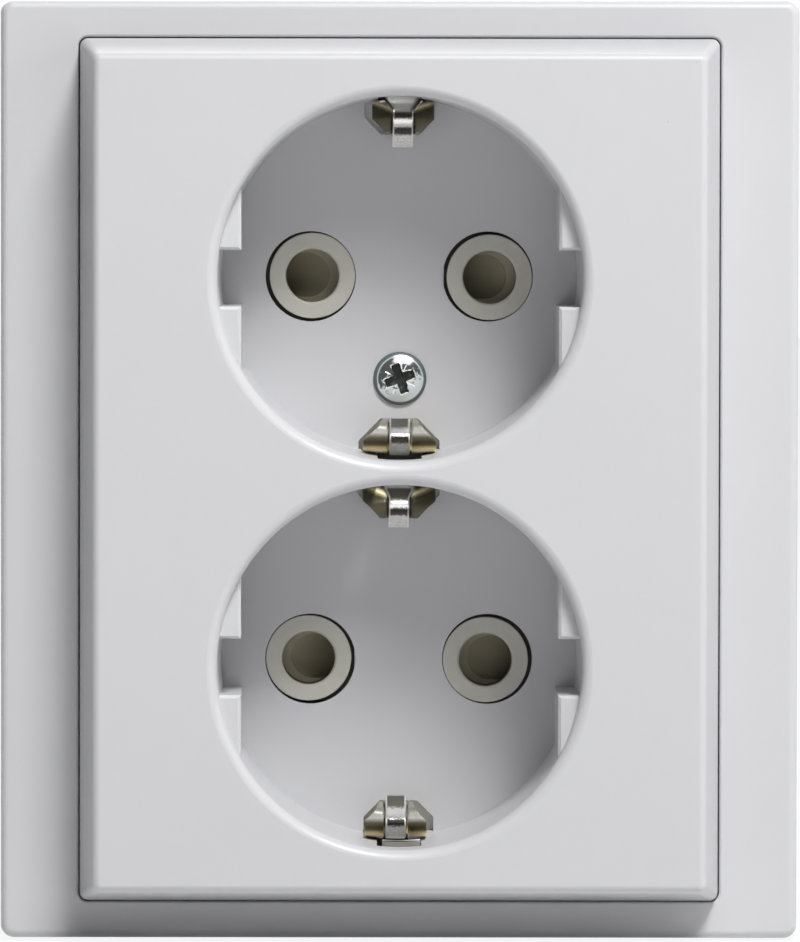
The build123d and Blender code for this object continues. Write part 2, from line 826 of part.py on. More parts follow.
def write_turned(name, piece):
    if isinstance(piece, list):
        write(name, [turned(part) for part in piece])
    else:
        write(name, turned(piece))


os.makedirs("parts", exist_ok=True)
write("frame", make_frame())
write("cover_plate", make_cover())
write("support_plate", make_support_plate())
write_turned("cover_screw", make_cover_screw())
write_turned("pin_guide", make_pin_guide())
write_turned("earth_strip", make_earth_strip())
write_turned("base", make_base())
write_turned("contact_cover", make_contact_cover())
write_turned("upper_shutter", make_shutter())
write_turned("lower_shutter", opposite(make_shutter()))
write_turned("upper_shutter_spring", make_shutter_spring())
write_turned("lower_shutter_spring", opposite(make_shutter_spring()))
write_turned("line_contact", make_contact(-1))
write_turned("neutral_contact", make_contact(1))
for terminal in terminals:
    write_turned(terminal + "_clamp_springs", make_clamp_springs(terminal))
    write_turned(terminal + "_release_button", make_release_button(terminal))
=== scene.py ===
import bmesh
import bpy
import json
import math
from mathutils import Matrix, Vector, noise

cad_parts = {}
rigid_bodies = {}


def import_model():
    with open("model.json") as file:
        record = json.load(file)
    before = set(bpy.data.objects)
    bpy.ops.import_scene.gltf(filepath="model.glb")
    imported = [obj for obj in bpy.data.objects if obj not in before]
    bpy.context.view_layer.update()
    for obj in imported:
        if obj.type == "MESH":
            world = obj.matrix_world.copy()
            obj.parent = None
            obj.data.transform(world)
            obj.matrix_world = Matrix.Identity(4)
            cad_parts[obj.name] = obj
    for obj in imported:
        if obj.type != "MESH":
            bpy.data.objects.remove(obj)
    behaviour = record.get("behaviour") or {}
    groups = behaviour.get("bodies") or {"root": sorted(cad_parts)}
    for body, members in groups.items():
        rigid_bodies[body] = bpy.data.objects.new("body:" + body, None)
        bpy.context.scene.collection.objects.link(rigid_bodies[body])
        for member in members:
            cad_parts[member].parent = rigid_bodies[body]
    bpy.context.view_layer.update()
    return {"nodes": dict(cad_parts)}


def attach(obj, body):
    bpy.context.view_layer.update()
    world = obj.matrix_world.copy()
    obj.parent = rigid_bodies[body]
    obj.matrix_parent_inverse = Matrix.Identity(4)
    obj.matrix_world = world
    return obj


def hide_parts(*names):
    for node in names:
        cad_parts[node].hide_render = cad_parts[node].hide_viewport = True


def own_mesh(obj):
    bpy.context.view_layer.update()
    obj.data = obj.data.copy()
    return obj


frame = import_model()
print("frame loaded:", len(frame["nodes"]), "nodes")

mm = 0.001
wellOffset = 20.55 * mm  # from the middle of the object to the middle of each well
insertAngle = math.radians(0.5)  # the pieces behind the cover sit a little turned
insertTurn = Matrix.Rotation(insertAngle, 4, "Y")
scene = bpy.context.scene
scene.view_settings.view_transform = "Standard"

cameraSettings = {
    "place": (-5.89 * mm, -938.3 * mm, 34.04 * mm),
    "target": (0.0, -20.0 * mm, 0.29 * mm),
    "lens": 333.1,
    "sensor": 36.0,
    "roll": 0.098,
}


def lookAt(place, target):
    turn = (Vector(target) - Vector(place)).to_track_quat("-Z", "Y")
    return Matrix.Translation(place) @ turn.to_matrix().to_4x4()


def setCamera(settings):
    data = bpy.data.cameras.new("camera")
    data.lens = settings["lens"]
    data.sensor_width = settings["sensor"]
    camera = bpy.data.objects.new("camera", data)
    scene.collection.objects.link(camera)
    roll = Matrix.Rotation(math.radians(settings["roll"]), 4, "Z")
    camera.matrix_world = lookAt(settings["place"], settings["target"]) @ roll
    scene.camera = camera


setCamera(cameraSettings)
print("camera placed")


class Signal:
    # a socket that can be used in sums
    def __init__(self, maker, socket):
        self.maker = maker
        self.socket = socket

    def sum(self, operation, first, second):
        return self.maker.add("ShaderNodeMath", {"operation": operation}, {0: first, 1: second})

    def __add__(self, other):
        return self.sum("ADD", self, other)

    def __radd__(self, other):
        return self.sum("ADD", other, self)

    def __sub__(self, other):
        return self.sum("SUBTRACT", self, other)

    def __rsub__(self, other):
        return self.sum("SUBTRACT", other, self)

    def __mul__(self, other):
        return self.sum("MULTIPLY", self, other)

    def __rmul__(self, other):
        return self.sum("MULTIPLY", other, self)

    def __truediv__(self, other):
        return self.sum("DIVIDE", self, other)

    def __rtruediv__(self, other):
        return self.sum("DIVIDE", other, self)

    def larger(self, other):
        return self.sum("MAXIMUM", self, other)

    def size(self):
        return self.sum("ABSOLUTE", self, 0.0)

    def floor(self):
        return self.sum("FLOOR", self, 0.0)


class Nodes:
    # a node tree and the one way to add to it
    def __init__(self, tree):
        self.tree = tree

    def add(self, kind, settings, sockets, output=0):
        node = self.tree.nodes.new(kind)
        for key, value in settings.items():
            if key == "stops":
                self.setStops(node.color_ramp, value)
            else:
                setattr(node, key, value)
        for key, value in sockets.items():
            self.join(self.find(node.inputs, key), value)
        return Signal(self, self.find(node.outputs, output)) if node.outputs else node

    def find(self, group, key):
        if isinstance(key, int):
            return group[key]
        for socket in group:
            if key in (socket.identifier, socket.name) and socket.enabled:
                return socket
        raise KeyError(key)

    def join(self, socket, value):
        for one in value if isinstance(value, list) else [value]:
            if isinstance(one, Signal):
                self.tree.links.new(one.socket, socket)
            else:
                socket.default_value = one

    def setStops(self, ramp, stops):
        while len(ramp.elements) < len(stops):
            ramp.elements.new(1.0)
        for element, (place, colour) in zip(ramp.elements, stops):
            element.position = place
            element.color = paint(colour)

    def backdropRay(self):
        # 1 for the rays that see the white background: camera, mirror and glass rays
        outputs = ("Is Camera Ray", "Is Glossy Ray", "Is Transmission Ray")
        camera, mirror, glass = [self.add("ShaderNodeLightPath", {}, {}, output) for output in outputs]
        return camera.larger(mirror).larger(glass)


class Finish(Nodes):
    # one material
    def __init__(self, name, **constants):
        self.material = bpy.data.materials.new(name)
        self.material.use_nodes = True
        super().__init__(self.material.node_tree)
        self.shader = self.tree.nodes["Principled BSDF"]
        self.coords = self.add("ShaderNodeTexCoord", {}, {}, "Object")
        for key, value in constants.items():
            self.feed(key.replace("_", " "), value)

    def feed(self, name, value):
        self.join(self.shader.inputs[name], value)

    def noise(self, scale, detail=3.0, rough=0.5, coords=None):
        sockets = {"Vector": coords or self.coords, "Scale": scale, "Detail": detail, "Roughness": rough}
        return self.add("ShaderNodeTexNoise", {}, sockets, "Fac")

    def stretched(self, stretch):
        # object coordinates drawn out along an axis
        return self.add("ShaderNodeMapping", {}, {"Vector": self.coords, "Scale": stretch}, "Vector")

    def ramp(self, signal, stops):
        return self.add("ShaderNodeValToRGB", {"stops": stops}, {"Fac": signal}, "Color")

    def mix(self, factor, first, second):
        sockets = {"Factor_Float": factor, "A_Color": paint(first), "B_Color": paint(second)}
        return self.add("ShaderNodeMix", {"data_type": "RGBA"}, sockets, "Result_Color")

    def step(self, signal, low, high):
        # 0 below low, 1 above high, smooth between
        sockets = {"Value": signal, "From Min": low, "From Max": high}
        return self.add("ShaderNodeMapRange", {"interpolation_type": "SMOOTHSTEP"}, sockets, "Result")

    def part(self, vector, axis):
        return self.add("ShaderNodeSeparateXYZ", {}, {"Vector": vector}, axis)

    def ownPlace(self, name, axis):
        # one coordinate of one of the piece's own maps
        return self.part(self.add("ShaderNodeUVMap", {"uv_map": name}, {}, "UV"), axis)

    def bump(self, height, depth):
        sockets = {"Height": height, "Strength": 1.0, "Distance": depth}
        self.feed("Normal", self.add("ShaderNodeBump", {}, sockets, "Normal"))


def paint(colour):
    # a colour as a socket takes it; a signal passes as it is
    return (*colour, 1.0) if isinstance(colour, tuple) else colour


whitePlastic = {
    "body": (0.58, 0.58, 0.60),
    "warm": (0.565, 0.565, 0.58),
    "swirl": (60.0, 2.0),
    "speck": (0.20, 0.19, 0.18),
    "speckCells": 140.0,
    "speckSize": (0.008, 0.016),
    "speckChance": (0.80, 0.82),
    "speckShare": 0.55,
    "roughness": 0.34,
    "smear": (220.0, 4.0),
    "smearRange": 0.10,
    "grain": (2600.0, 2.0),
    "grainDepth": 0.004 * mm,
}


def makeWhitePlastic(settings):
    finish = Finish("whiteMoulding", IOR=1.5, Specular_IOR_Level=0.3)
    body = finish.mix(finish.noise(*settings["swirl"]), settings["body"], settings["warm"])
    # a few specks of dust
    sockets = {"Vector": finish.coords, "Scale": settings["speckCells"]}
    near = finish.add("ShaderNodeTexVoronoi", {}, sockets, "Distance")
    colour = finish.add("ShaderNodeTexVoronoi", {}, sockets, "Color")
    pick = finish.add("ShaderNodeSeparateColor", {}, {"Color": colour}, "Red")
    speck = (1 - finish.step(near, *settings["speckSize"])) * finish.step(pick, *settings["speckChance"])
    finish.feed("Base Color", finish.mix(speck * settings["speckShare"], body, settings["speck"]))
    smear = finish.noise(*settings["smear"])
    finish.feed("Roughness", settings["roughness"] + (smear - 0.5) * settings["smearRange"])
    finish.bump(finish.noise(*settings["grain"]), settings["grainDepth"])
    return finish.material


plasticGrain = {
    "cloud": (900.0, 4.0),
    "gloss": (400.0, 3.0),
    "glossRange": 0.16,
    "grain": (2400.0, 2.0),
    "grainDepth": 0.008 * mm,
}

metalGrain = {
    "cloud": (500.0, 5.0, 0.6),
    "gloss": (1400.0, 4.0),
    "glossRange": 0.2,
    "grain": (3000.0, 3.0),
    "grainDepth": 0.004 * mm,
}

plainPlastics = {
    "shutterMoulding": {"body": (0.50, 0.46, 0.33), "dull": (0.44, 0.40, 0.28), "roughness": 0.5},
    "greyMoulding": {"body": (0.085, 0.09, 0.095), "dull": (0.065, 0.068, 0.072), "roughness": 0.55},
    "leverMoulding": {"body": (0.55, 0.16, 0.02), "dull": (0.46, 0.13, 0.015), "roughness": 0.45},
}

metals = {
    "zincSheet": {"body": (0.62, 0.63, 0.63), "dull": (0.46, 0.47, 0.47), "roughness": 0.36},
    "springSteel": {"body": (0.52, 0.52, 0.52), "dull": (0.38, 0.38, 0.39), "roughness": 0.3},
    "contactBrass": {"body": (0.72, 0.50, 0.20), "dull": (0.52, 0.34, 0.12), "roughness": 0.3},
}


def grained(name, settings, grain, **constants):
    # two close colours in clouds, an uneven gloss and a fine grain
    finish = Finish(name, **constants)
    finish.colour = finish.mix(finish.noise(*grain["cloud"]), settings["body"], settings["dull"])
    finish.feed("Base Color", finish.colour)
    uneven = (finish.noise(*grain["gloss"]) - 0.5) * grain["glossRange"]
    finish.feed("Roughness", settings["roughness"] + uneven)
    finish.bump(finish.noise(*grain["grain"]), grain["grainDepth"])
    return finish


beigePlastic = {
    "body": (0.56, 0.545, 0.49),
    "dull": (0.49, 0.475, 0.42),
    "roughness": 0.5,
    # painted shade for the bores and gaps behind the faces of the bosses
    "recessShade": (0.06, 0.052, 0.032),
    "face": -2.5 * mm,
    "fade": (0.15 * mm, 0.5 * mm),
}


def makeBeigePlastic(settings):
    # what lies behind the faces of the bosses, in the bores and the gap, is painted dark as painted shade
    finish = grained("beigeMoulding", settings, plasticGrain, IOR=1.5)
    depth = finish.part(finish.coords, "Y") - settings["face"]
    behind = finish.step(depth, *settings["fade"])
    finish.feed("Base Color", finish.mix(behind, finish.colour, settings["recessShade"]))
    return finish.material


# the screw head's colours are mostly painted light and shade: a painted sky highlight, painted shade on the
# dome, a painted shaded ring, painted shade in the recess with painted glints, and a painted highlight on
# its raised edge
screwSteel = {
    "light": (0.66, 0.70, 0.71),
    "shade": (0.06, 0.07, 0.066),
    "skyHighlight": (0.95, 0.96, 1.0),
    "ringShade": (0.095, 0.118, 0.124),
    "pitShade": (0.012, 0.014, 0.012),
    "glint": (0.055, 0.062, 0.058),
    "burr": (0.95, 0.96, 0.94),
    "grain": (2200.0, 5.0, 0.65),
    "grainDepth": 0.02 * mm,
    "drift": 2.6,
    "shadeLean": 0.35,
    "shadeEdge": (-0.30, 0.10),
    "skyMiddle": 0.1,
    "skyDrift": 0.2,
    "skyFoot": (0.50, 0.62),
    "skySide": (0.22, 0.42),
    "rimInside": (0.64, 0.70),
    "rimOutside": (0.74, 0.78),
    "rimShare": 0.7,
    "ringEdge": (0.76, 0.82),
    "glintGrain": (0.5, 0.66),
    "pitEdge": (0.3, 0.6),
    "burrEdge": (0.35, 0.7),
    "burrNoise": (900.0, 2.0),
    "burrGaps": (0.42, 0.50),
    "metallic": 0.45,
    "ringMetallic": -0.3,
    "roughness": 0.24,
    "grainRoughness": 0.16,
    "ringRoughness": 0.2,
}


def makeScrewSteel(settings):
    # one map runs over the head from -1 to 1 both ways, the other has the recess and its raised edge
    finish = Finish("screwSteel")
    right = finish.ownPlace("place", "X")
    up = finish.ownPlace("place", "Y")
    deep = finish.ownPlace("extra", "X")
    raised = finish.ownPlace("extra", "Y")
    squared = right * right + up * up
    grain = finish.noise(*settings["grain"])
    drift = (grain - 0.5) * settings["drift"]
    # the dome is painted light below, with painted shade over its upper part and a painted sky highlight
    # near the top
    shaded = finish.step(up - right * settings["shadeLean"] + drift, *settings["shadeEdge"])
    dome = finish.mix(shaded, settings["light"], settings["shade"])
    slight = drift * settings["skyDrift"]
    high = finish.step(up + slight, *settings["skyFoot"])
    aside = finish.step((right - settings["skyMiddle"]).size() + slight, *settings["skySide"])
    dome = finish.mix(high * (1 - aside), dome, settings["skyHighlight"])
    # a painted highlight line just inside the rim, and a painted shaded ring around the edge of the head
    rim = finish.step(squared, *settings["rimInside"]) * (1 - finish.step(squared, *settings["rimOutside"]))
    dome = finish.mix(rim * settings["rimShare"], dome, settings["light"])
    ringShade = finish.step(squared, *settings["ringEdge"])
    dome = finish.mix(ringShade, dome, settings["ringShade"])
    # the recess is painted near black as painted shade, with painted glints in it
    pitShade = finish.mix(finish.step(grain, *settings["glintGrain"]), settings["pitShade"], settings["glint"])
    dome = finish.mix(finish.step(deep, *settings["pitEdge"]), dome, pitShade)
    # the raised edge of the recess carries a painted highlight, broken here and there
    gaps = finish.step(finish.noise(*settings["burrNoise"]), *settings["burrGaps"])
    burr = finish.step(raised, *settings["burrEdge"]) * gaps
    finish.feed("Base Color", finish.mix(burr, dome, settings["burr"]))
    finish.feed("Metallic", settings["metallic"] + settings["ringMetallic"] * ringShade)
    rough = settings["roughness"] + grain * settings["grainRoughness"]
    finish.feed("Roughness", rough + settings["ringRoughness"] * ringShade)
    finish.bump(grain, settings["grainDepth"])
    return finish.material


nickelPlate = {
    # painted light and shade on the wings of the clips at the upper ends of the wells, which lie in shade:
    # dark, with a painted reflected band near the wall
    "shadedHighWing": [
        (0.0, (0.13, 0.12, 0.08)),
        (0.25, (0.085, 0.075, 0.045)),
        (0.60, (0.06, 0.054, 0.03)),
        (0.67, (0.32, 0.27, 0.16)),
        (0.73, (1.0, 0.90, 0.62)),
        (0.78, (0.70, 0.60, 0.38)),
        (0.84, (0.09, 0.08, 0.05)),
        (1.0, (0.06, 0.055, 0.035)),
    ],
    # painted light and shade on the wings of the lit clips at the lower ends: lighter, with painted
    # reflection bands
    "litLowWing": [
        (0.0, (0.24, 0.235, 0.20)),
        (0.20, (0.27, 0.265, 0.23)),
        (0.34, (0.50, 0.50, 0.47)),
        (0.48, (0.15, 0.135, 0.08)),
        (0.62, (0.06, 0.05, 0.02)),
        (0.70, (0.12, 0.10, 0.04)),
        (0.78, (0.75, 0.58, 0.26)),
        (0.86, (1.0, 0.92, 0.64)),
        (0.94, (0.10, 0.09, 0.07)),
    ],
    # the tongue's bands are painted light: white painted highlight bands, and a dark band that is partly
    # painted reflection and partly wear from plugs
    "tongue": [
        (0.0, (0.13, 0.13, 0.11)),
        (0.22, (0.20, 0.19, 0.15)),
        (0.28, (0.95, 0.95, 0.93)),
        (0.43, (0.95, 0.95, 0.93)),
        (0.48, (0.05, 0.045, 0.04)),
        (0.62, (0.09, 0.085, 0.075)),
        (0.68, (0.95, 0.95, 0.93)),
        (1.0, (0.85, 0.85, 0.83)),
    ],
    "scratch": (0.42, 0.41, 0.38),
    "edge": (0.95, 0.94, 0.90),
    "root": (0.25, 0.245, 0.22),
    "strip": (0.85, 0.85, 0.86),
    "tab": (0.72, 0.69, 0.64),
    "freeEnd": 15.2 * mm,
    "wall": 19.0 * mm,
    "slope": 0.10 / mm,
    "band": 1.45 * mm,
    "scuff": (3200.0, 5.0, 0.65),
    "scuffStretch": (1.0, 1.0, 1.8),
    "scuffDepth": 0.015 * mm,
    "waver": 0.10,
    "lowWaver": 0.4,
    "tongueWaver": 1.8,
    "wingFlag": (1.4, 1.6),
    "slotEdge": (0.95, 0.98),
    "scratchGrain": (0.42, 0.50),
    "scratchStart": (0.64, 0.70),
    "scratchShare": 0.35,
    "edgeStart": (0.80, 0.88),
    "plainStart": (0.58, 0.66),
    "metallic": 0.15,
    "tongueMetallic": 0.7,
    "roughness": 0.24,
    "scuffRoughness": 0.12,
}


def makeNickelPlate(settings):
    # the first map runs along and across a tongue and has 2 across on the wings
    # the second is 1 on tongues one way and on dull parts the other
    finish = Finish("nickelPlate", Specular_IOR_Level=0.25)
    along = finish.ownPlace("place", "X")
    across = finish.ownPlace("place", "Y").size()
    isTongue = finish.ownPlace("extra", "X")
    isDull = finish.ownPlace("extra", "Y")
    x = finish.part(finish.coords, "X")
    z = finish.part(finish.coords, "Z")
    # places on the wings and the strip are counted from the middle of the nearer well
    fromWell = z - wellOffset * (2 * finish.step(z, -mm, mm) - 1)
    share = (fromWell.size() - settings["freeEnd"]) / (settings["wall"] - settings["freeEnd"])
    sideways = (x - z * math.tan(insertAngle)).size() - settings["band"]
    low = 1 - finish.step(fromWell, -mm, mm)
    scuff = finish.noise(*settings["scuff"], finish.stretched(settings["scuffStretch"]))
    waver = (scuff - 0.5) * settings["waver"]
    # the wing colours are painted reflection bands and painted shade, darker on the shaded upper clips than
    # on the lit lower ones
    high = finish.ramp(share - sideways * settings["slope"] + waver, settings["shadedHighWing"])
    wing = finish.mix(low, high, finish.ramp(share + waver * settings["lowWaver"], settings["litLowWing"]))
    # the flat of the strip is painted pale beside the wings, and in the slots it keeps the dark end of the
    # wing colours as painted shade
    flat = 1 - finish.step(across, *settings["wingFlag"])
    pale = flat * (1 - finish.step(share, *settings["slotEdge"]))
    wing = finish.mix(pale, wing, settings["strip"])
    # painted highlight and reflection bands along the tongue, with light scratches of wear towards its tip
    tongue = finish.ramp(along + waver * settings["tongueWaver"], settings["tongue"])
    worn = finish.step(scuff, *settings["scratchGrain"]) * finish.step(along, *settings["scratchStart"])
    tongue = finish.mix(worn * settings["scratchShare"], tongue, settings["scratch"])
    # a painted highlight along both edges of the tongue
    tongue = finish.mix(finish.step(across, *settings["edgeStart"]), tongue, settings["edge"])
    bright = finish.mix(isTongue, wing, tongue)
    dull = finish.mix(low, settings["root"], settings["tab"])
    finish.feed("Base Color", finish.mix(isDull, bright, dull))
    plain = (isTongue * finish.step(along, *settings["plainStart"])).larger(isDull)
    finish.feed("Metallic", settings["metallic"] + settings["tongueMetallic"] * isTongue * (1 - plain))
    finish.feed("Roughness", settings["roughness"] + scuff * settings["scuffRoughness"])
    finish.bump(scuff * isTongue, settings["scuffDepth"])
    return finish.material


finishes = {
    "whiteMoulding": makeWhitePlastic(whitePlastic),
    "beigeMoulding": makeBeigePlastic(beigePlastic),
    "screwSteel": makeScrewSteel(screwSteel),
    "nickelPlate": makeNickelPlate(nickelPlate),
}
for name, settings in plainPlastics.items():
    finishes[name] = grained(name, settings, plasticGrain, IOR=1.5).material
for name, settings in metals.items():
    finishes[name] = grained(name, settings, metalGrain, Metallic=1.0).material
print("finishes made:", len(finishes))


def addObject(name, mesh, finish):
    item = bpy.data.objects.new(name, mesh)
    scene.collection.objects.link(item)
    mesh.materials.clear()
    mesh.materials.append(finishes[finish])
    return item


def meshFrom(work, name):
    mesh = bpy.data.meshes.new(name)
    work.to_mesh(mesh)
    work.free()
    return mesh


def asPlainMesh(item):
    # what the modifiers give becomes the object's own mesh
    depsgraph = bpy.context.evaluated_depsgraph_get()
    depsgraph.update()
    mesh = bpy.data.meshes.new_from_object(item.evaluated_get(depsgraph))
    old = item.data
    item.modifiers.clear()
    item.data = mesh
    bpy.data.meshes.remove(old)


def standIn(item, body, slot, *nodes):
    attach(item, body)
    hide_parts(*nodes)
    print("piece", item.name, len(item.data.polygons), "faces")


copySettings = {
    "merge": 0.001 * mm,
    "flat": math.radians(0.6),
    "softened": math.radians(38.0),
    "sharp": math.radians(30.0),
    "segments": 3,
    "evenness": 80,
}


def cleanCopy(node):
    # a CAD node's mesh with its doubled points merged
    work = bmesh.new()
    work.from_mesh(frame["nodes"][node].data)
    bmesh.ops.remove_doubles(work, verts=work.verts, dist=copySettings["merge"])
    flat = copySettings["flat"]
    bmesh.ops.dissolve_limit(work, angle_limit=flat, verts=work.verts, edges=work.edges)
    return work


edgeSettings = {"bossFront": -1.0 * mm, "lipOutside": 20.2 * mm, "lipDeepest": -19.25 * mm}


def everyEdge(edge):
    return True


def bossEdge(edge):
    # of the pin guide only the front edges of its bosses show
    return max(vert.co.y for vert in edge.verts) < edgeSettings["bossFront"]


def lipEdge(edge):
    # the rims of the wells are rounded more than the cover's other edges
    for vert in edge.verts:
        x, y, z = vert.co
        fromMiddle = math.hypot(x, abs(z) - wellOffset)
        if y > edgeSettings["lipDeepest"] or fromMiddle > edgeSettings["lipOutside"]:
            return False
    return True


def otherEdge(edge):
    return not lipEdge(edge)


def softCopy(node, name, finish, roundings):
    # a copy of a CAD node with softened edges
    work = cleanCopy(node)
    labels = ["rounding" + str(number) for number in range(len(roundings))]
    layers = [work.edges.layers.float.new(label) for label in labels]
    for edge in work.edges:
        if len(edge.link_faces) == 2 and edge.calc_face_angle() > copySettings["softened"]:
            for layer, (width, picks) in zip(layers, roundings):
                edge[layer] = float(picks(edge))
    for face in work.faces:
        face.smooth = True
    mesh = meshFrom(work, name)
    mesh.set_sharp_from_angle(angle=copySettings["sharp"])
    item = addObject(name, mesh, finish)
    for label, (width, picks) in zip(labels, roundings):
        bevel = item.modifiers.new(label, "BEVEL")
        bevel.width = width
        bevel.segments = copySettings["segments"]
        bevel.limit_method = "WEIGHT"
        bevel.edge_weight = label
        bevel.use_clamp_overlap = picks is not lipEdge
    even = item.modifiers.new("even", "WEIGHTED_NORMAL")
    even.keep_sharp = True
    even.weight = copySettings["evenness"]
    asPlainMesh(item)
    return item


plainEdges = [(0.10 * mm, everyEdge)]
fineEdges = [(0.05 * mm, everyEdge)]
bossEdges = [(0.10 * mm, bossEdge)]
coverEdges = [(0.38 * mm, lipEdge), (0.114 * mm, otherEdge)]

mouldings = {
    "frame": ("surround", "whiteMoulding", plainEdges, "socket", "white_plastic"),
    "cover_plate": ("cover", "whiteMoulding", coverEdges, "socket", "white_plastic"),
    "pin_guide": ("pinGuide", "beigeMoulding", bossEdges, "socket", "beige_plastic"),
    "upper_shutter": ("upperShutter", "shutterMoulding", fineEdges, "upper_shutter", "shutter_plastic"),
    "lower_shutter": ("lowerShutter", "shutterMoulding", fineEdges, "lower_shutter", "shutter_plastic"),
    "base": ("insertBase", "greyMoulding", plainEdges, "socket", "grey_plastic"),
}

for node, (name, finish, roundings, body, slot) in mouldings.items():
    standIn(softCopy(node, name, finish, roundings), body, slot, node)


def addSheet(work, rows):
    # faces between closed rows of points; each point has a position and its values on two maps
    layers = work.loops.layers.uv
    maps = [layers.get(name) or layers.new(name) for name in ("place", "extra")]
    verts = [[(work.verts.new(spot), values) for spot, *values in row] for row in rows]
    for near, far in zip(verts, verts[1:]):
        for i in range(len(near)):
            j = (i + 1) % len(near)
            corners = [near[i], near[j], far[j], far[i]]
            face = work.faces.new([vert for vert, values in corners])
            face.smooth = True
            for loop, (vert, values) in zip(face.loops, corners):
                for layer, value in zip(maps, values):
                    loop[layer].uv = value
    return verts


def between(value, low, high):
    return min(max((value - low) / (high - low), 0.0), 1.0)


def smoothStep(value, low, high):
    share = between(value, low, high)
    return share * share * (3 - 2 * share)


def onCircle(radius, number, count):
    angle = 2 * math.pi * number / count
    return radius * math.cos(angle), radius * math.sin(angle)


# lengths are in millimetres, and heights are above the wall
screwSettings = {
    "place": 9.6,
    "seat": 2.52,
    "radius": 2.85,
    "top": 3.4,
    "dome": 0.6,
    "domePower": 2.3,
    "rim": 0.16,
    "rimSteps": 4,
    "rings": 84,
    "around": 224,
    "middle": 0.004,
    "turn": 20.0,
    "armLength": 1.64,
    "armHalf": 0.54,
    "armTaper": 0.05,
    "ragged": 0.10,
    "raggedScale": 2.4,
    "raggedSeed": 3.0,
    "wall": (-0.10, 0.03),
    "depth": 1.0,
    "endDepth": 0.55,
    "burr": 0.035,
    "burrWidth": 0.06,
    "edgeMiddle": 0.03,
    "edgeWidth": 0.09,
    "tickDepth": 0.07,
    "tickSide": (0.03, 0.10),
    "tickStart": (0.7, 0.8),
    "tickEnd": (1.7, 1.8),
    "shank": 1.45,
    "core": 1.1,
    "tip": -10.5,
    "pitch": 1.2,
    "threadRings": 150,
    "threadAround": 40,
    "threadFlank": (0.35, 0.95),
    "tipShare": (0.9, 1.0),
    "tipTaper": 0.75,
}


def screwRecess(settings, x, z):
    # how far the recess lies below the dome, and two shares: inside it, and on its raised edge
    turn = math.radians(settings["turn"])
    u = abs(x * math.cos(turn) + z * math.sin(turn))
    v = abs(z * math.cos(turn) - x * math.sin(turn))
    arms = []
    for along, across in ((u, v), (v, u)):
        half = settings["armHalf"] - settings["armTaper"] * along
        arms.append(max(across - half, along - settings["armLength"]))
    scale = settings["raggedScale"]
    ragged = noise.noise(Vector((x * scale, z * scale, settings["raggedSeed"])))
    outside = min(arms) + settings["ragged"] * ragged
    inside = 1 - smoothStep(outside, *settings["wall"])
    rise = (settings["endDepth"] - settings["depth"]) * math.hypot(x, z) / settings["armLength"]
    burr = settings["burr"] * math.exp(-((outside / settings["burrWidth"]) ** 2))
    drop = inside * (settings["depth"] + rise) - burr
    # short lines are struck between the arms
    along, across = (u + v) / math.sqrt(2), abs(u - v) / math.sqrt(2)
    tick = (1 - smoothStep(across, *settings["tickSide"])) * smoothStep(along, *settings["tickStart"])
    tick *= 1 - smoothStep(along, *settings["tickEnd"])
    edge = math.exp(-(((outside - settings["edgeMiddle"]) / settings["edgeWidth"]) ** 2))
    return drop + tick * settings["tickDepth"], inside, max(edge, tick)


def makeScrew(settings):
    work = bmesh.new()
    radius, core, seat = settings["radius"], settings["core"], settings["seat"]
    flat = radius - settings["rim"]
    rings, around = settings["rings"], settings["around"]

    def point(height, x, z, inside=0.0, edge=0.0):
        spot = Vector((x * mm, -height * mm, (z + settings["place"]) * mm))
        return insertTurn @ spot, (x / radius, z / radius), (inside, edge)

    def domeHeight(fromMiddle):
        return settings["top"] - settings["dome"] * (fromMiddle / radius) ** settings["domePower"]

    rows = []
    for i in range(rings + 1):
        fromMiddle = max(flat * i / rings, settings["middle"])
        row = []
        for j in range(around):
            x, z = onCircle(fromMiddle, j, around)
            drop, inside, edge = screwRecess(settings, x, z)
            row.append(point(domeHeight(fromMiddle) - drop, x, z, inside, edge))
        rows.append(row)
    # the rim curves down to the seat
    profile = []
    for k in range(1, settings["rimSteps"] + 1):
        turn = math.pi / 2 * k / settings["rimSteps"]
        height = domeHeight(flat) - 2 * settings["rim"] * (1 - math.cos(turn))
        profile.append((flat + settings["rim"] * math.sin(turn), height))
    for reach, height in profile + [(radius, seat), (core, seat)]:
        rows.append([point(height, *onCircle(reach, j, around)) for j in range(around)])
    addSheet(work, rows)

    # the shank carries a thread
    rings, around = settings["threadRings"], settings["threadAround"]
    rows = []
    for i in range(rings + 1):
        share = i / rings
        height = seat - (seat - settings["tip"]) * share
        row = []
        for j in range(around):
            phase = (height / settings["pitch"] + j / around) % 1.0
            ridge = smoothStep(1 - abs(2 * phase - 1), *settings["threadFlank"])
            reach = core + (settings["shank"] - core) * ridge
            reach *= 1 - smoothStep(share, *settings["tipShare"]) * settings["tipTaper"]
            row.append(point(height, *onCircle(reach, j, around)))
        rows.append(row)
    addSheet(work, rows)
    bmesh.ops.recalc_face_normals(work, faces=work.faces)
    return addObject("coverScrew", meshFrom(work, "coverScrew"), "screwSteel")


standIn(makeScrew(screwSettings), "socket", "screw_steel", "cover_screw")

